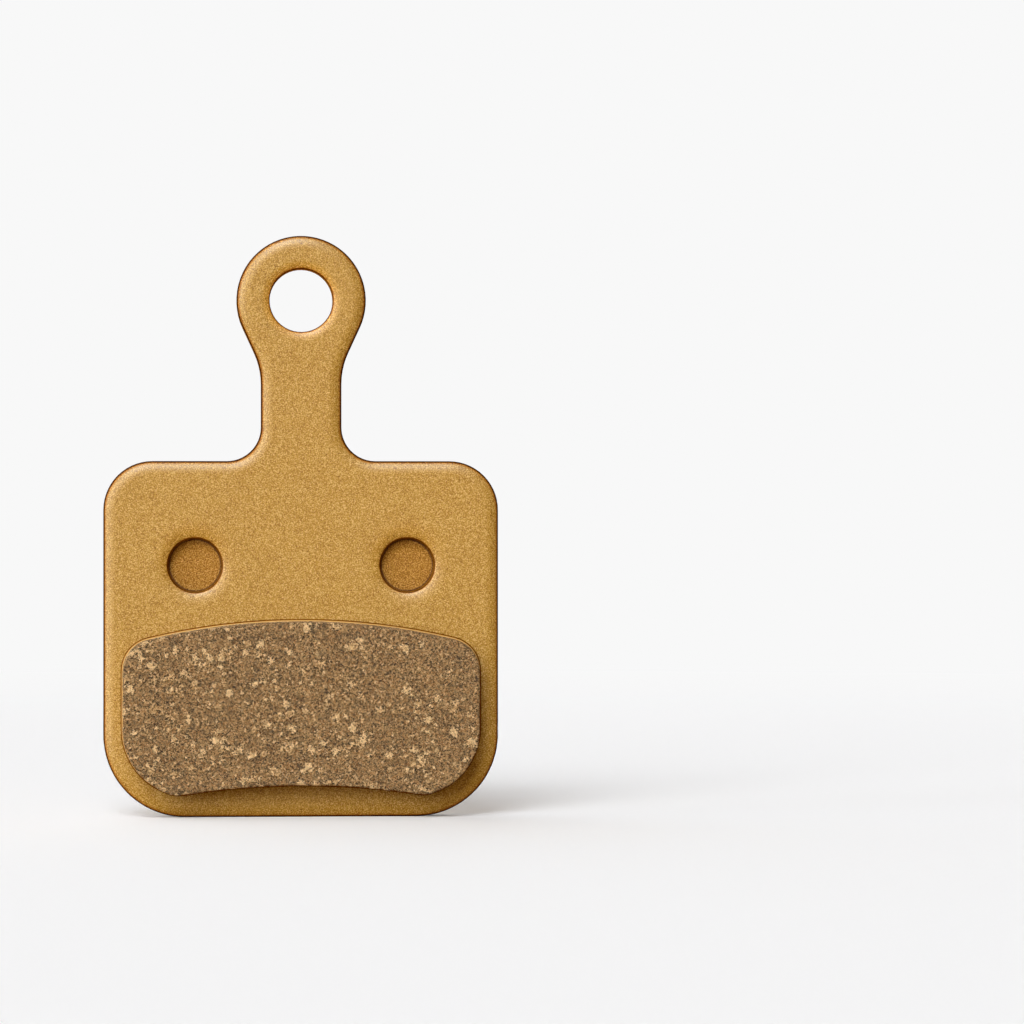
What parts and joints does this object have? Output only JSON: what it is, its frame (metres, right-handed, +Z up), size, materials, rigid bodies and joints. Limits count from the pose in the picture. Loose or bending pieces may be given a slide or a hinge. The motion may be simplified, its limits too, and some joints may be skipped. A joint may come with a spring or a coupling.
{
  "type": "bicycle disc brake pad",
  "caption": "Flat steel backing plate with a retaining eye on a flared neck and blind dimples, carrying an arched friction lining that presses on a brake rotor.",
  "frame": {"origin": "centre of the retaining eye's bore, halfway through the backing plate's thickness", "axes": "+Z up towards the eye, +X across the pad, -Y the friction side along the bore's axis"},
  "size_m": [0.025, 0.004, 0.0368],
  "materials": {
    "gold_coat": "satin",
    "friction_compound": "matte"
  },
  "bodies": {
    "root": {"backing_plate": "gold_coat", "friction_lining": "friction_compound"}
  },
  "joints": []
}
